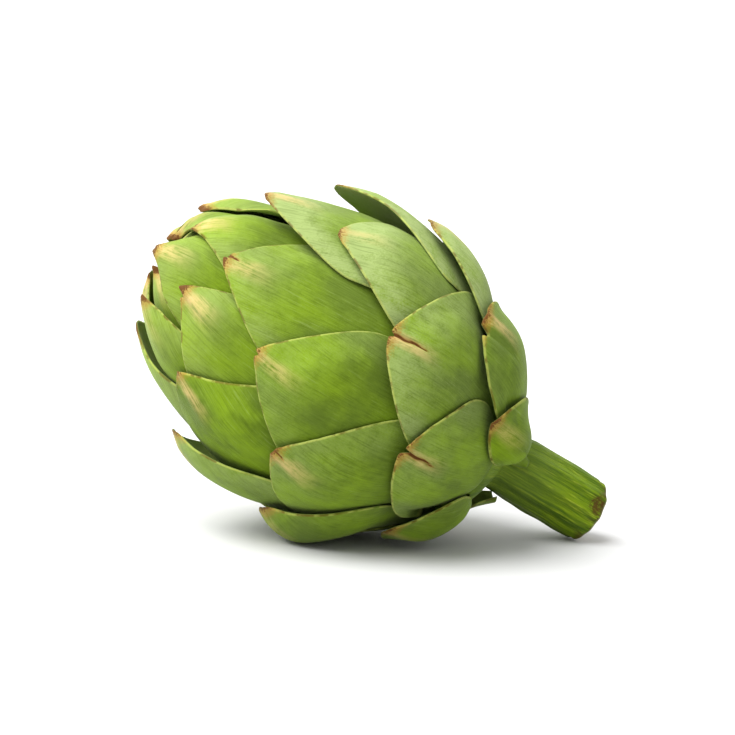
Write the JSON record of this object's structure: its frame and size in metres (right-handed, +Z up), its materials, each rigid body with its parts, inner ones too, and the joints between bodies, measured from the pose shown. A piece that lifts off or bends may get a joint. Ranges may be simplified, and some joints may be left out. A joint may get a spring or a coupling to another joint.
{
  "type": "artichoke",
  "caption": "Whole green globe artichoke lying on its side, with broad overlapping bracts round a closed bud and a short cut stem.",
  "frame": {"origin": "on the surface that the artichoke lies on, under the middle of its box", "axes": "+X from the tip of the head towards the cut stem, along the artichoke's length as it lies; +Z up; the head's axis rises towards -X"},
  "size_m": [0.14, 0.091, 0.0964],
  "materials": {
    "stem": "ribbed green skin with a dull shine",
    "outer_bract": "waxy green with a grey bloom, fine lengthwise fibres, pale rims and brown tips",
    "inner_bract": "waxy yellow-green with fine lengthwise fibres and brown tips",
    "bud": "waxy yellow-green with brown tips"
  },
  "bodies": {
    "root": {"stem": "stem", "bract_01": "outer_bract", "bract_02": "outer_bract", "bract_03": "outer_bract", "bract_04": "outer_bract", "bract_05": "outer_bract", "bract_06": "outer_bract", "bract_07": "outer_bract", "bract_08": "outer_bract", "bract_09": "outer_bract", "bract_10": "outer_bract", "bract_11": "outer_bract", "bract_12": "outer_bract", "bract_13": "outer_bract", "bract_14": "outer_bract", "bract_15": "outer_bract", "bract_16": "outer_bract", "bract_17": "outer_bract", "bract_18": "outer_bract", "bract_19": "outer_bract", "bract_20": "outer_bract", "bract_21": "outer_bract", "bract_22": "outer_bract", "bract_23": "outer_bract", "bract_24": "outer_bract", "bract_25": "outer_bract", "bract_26": "outer_bract", "bract_27": "outer_bract", "bract_28": "outer_bract", "bract_29": "outer_bract", "bract_30": "outer_bract", "bract_31": "outer_bract", "bract_32": "outer_bract", "bract_33": "inner_bract", "bract_34": "inner_bract", "bract_35": "inner_bract", "bract_36": "inner_bract", "bract_37": "inner_bract", "bract_38": "inner_bract", "bract_39": "inner_bract", "bract_40": "inner_bract", "bract_41": "inner_bract", "bract_42": "inner_bract", "bract_43": "inner_bract", "bract_44": "inner_bract", "bract_45": "inner_bract", "bract_46": "inner_bract", "bud": "bud"}
  },
  "joints": []
}
